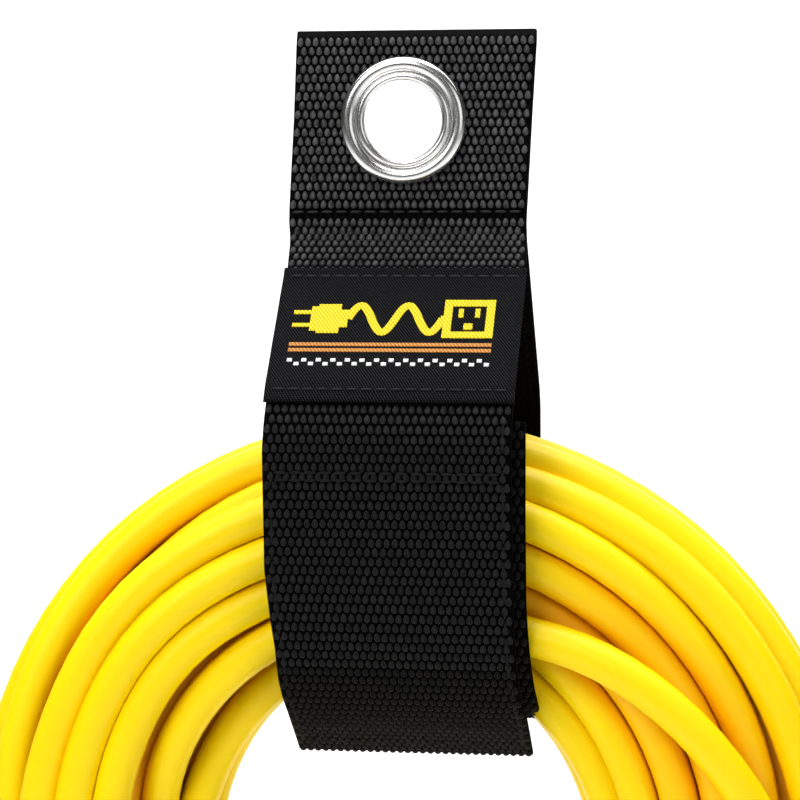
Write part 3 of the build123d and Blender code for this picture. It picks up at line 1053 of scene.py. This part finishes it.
hooks = {
    "pitch": 1.5,
    "columns": 29,
    "width": 0.34,
    "length": 0.5,
    "height": 0.7,
    "below": 1.0,
    "slant": 0.4,
    "top": -67,  # height of the first row
    "seed": {"segments": 5, "rings": 4},
}
hookTree = seedTree("hooks", hooks["seed"], finishes["hook_tape"])
hookStart, hookEnd = frontRoute.whereZ(hooks["top"]), frontRoute.length - 2
hookGuides = []
for i in range(int((hookEnd - hookStart) / hooks["pitch"])):
    for k in range(hooks["columns"]):
        x = (k - hooks["columns"] // 2) * hooks["pitch"]
        place, run, face = frontRoute.at(hookStart + i * hooks["pitch"], x, -hooks["below"])
        slant = hooks["slant"] if (i + k) % 2 else -hooks["slant"]
        hookGuides.append((place, face * -1, run + Vector((slant, 0, 0))))
tapeHooks = sow("tapeHooks", hookGuides, hookTree, hooks["width"], hooks["length"], hooks["height"])
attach(tapeHooks, "flap")
print("finishes done")


stageSizes = {"floorZ": -0.42, "halfWidth": 8.0, "front": -3.0, "wallY": 2.2, "bend": 1.0, "top": 3.0}


def makeStage(s):
    foot, bend = s["wallY"] - s["bend"], s["bend"]
    profile = [(s["front"], s["floorZ"]), (foot, s["floorZ"])]
    for k in range(1, 13):
        a = math.pi / 2 * k / 12
        profile.append((foot + bend * math.sin(a), s["floorZ"] + bend * (1 - math.cos(a))))
    profile.append((s["wallY"], s["top"]))
    mesh = bpy.data.meshes.new("backdrop")
    vertices = [(side * s["halfWidth"], y, z) for y, z in profile for side in (-1, 1)]
    faces = [(2 * i, 2 * i + 1, 2 * i + 3, 2 * i + 2) for i in range(len(profile) - 1)]
    mesh.from_pydata(vertices, [], faces)
    for face in mesh.polygons:
        face.use_smooth = True
    thing = link("backdrop", mesh)
    look = Look("palePaper", Roughness=0.9, Specular_IOR_Level=0.1)
    cloud = look.noise(look.coords(), 2, 2)
    look.feed(Base_Color=look.blend(cloud, (0.93, 0.93, 0.93), (0.96, 0.96, 0.96)))
    wear(thing, look)


lamps = [
    {"name": "keySoftbox", "at": (-0.55, -1.1, 0.75), "size": 0.9, "power": 13.5, "aim": (0, 0, -0.08)},
    {"name": "fillSoftbox", "at": (0.95, -1.0, 0.25), "size": 0.9, "power": 3, "aim": (0, 0, -0.08)},
    {"name": "topSoftbox", "at": (0.0, -0.1, 1.1), "size": 0.8, "power": 13, "aim": (0, 0, -0.1)},
    {"name": "backdropWash", "at": (0.0, 0.9, 1.6), "size": 2.4, "power": 60, "aim": (0, 2.2, 0.0)},
]


def makeLight(lamp):
    data = bpy.data.lights.new(lamp["name"], "AREA")
    data.shape = "SQUARE"
    data.size = lamp["size"]
    data.energy = lamp["power"]
    thing = link(lamp["name"], data)
    thing.location = lamp["at"]
    thing.rotation_euler = (Vector(lamp["aim"]) - Vector(lamp["at"])).to_track_quat("-Z", "Y").to_euler()


makeStage(stageSizes)
for lamp in lamps:
    makeLight(lamp)


def makeWorld(low, high, towards):  # brighter towards one side, so that metal has something to mirror
    world = bpy.data.worlds.new("studio")
    bpy.context.scene.world = world
    world.use_nodes = True
    add, join = world.node_tree.nodes.new, world.node_tree.links.new
    direction, dot, spread = add("ShaderNodeTexCoord"), add("ShaderNodeVectorMath"), add("ShaderNodeMapRange")
    dot.operation = "DOT_PRODUCT"
    dot.inputs[1].default_value = Vector(towards).normalized()
    spread.interpolation_type = "SMOOTHSTEP"
    for key, value in (("From Min", -0.35), ("From Max", 0.55), ("To Min", low), ("To Max", high)):
        spread.inputs[key].default_value = value
    join(direction.outputs["Generated"], dot.inputs[0])
    join(dot.outputs["Value"], spread.inputs["Value"])
    join(spread.outputs["Result"], world.node_tree.nodes["Background"].inputs["Strength"])


makeWorld(0.04, 0.85, (-0.6, -0.3, 0.7))
bpy.context.scene.view_settings.view_transform = "Standard"
print("stage and light")
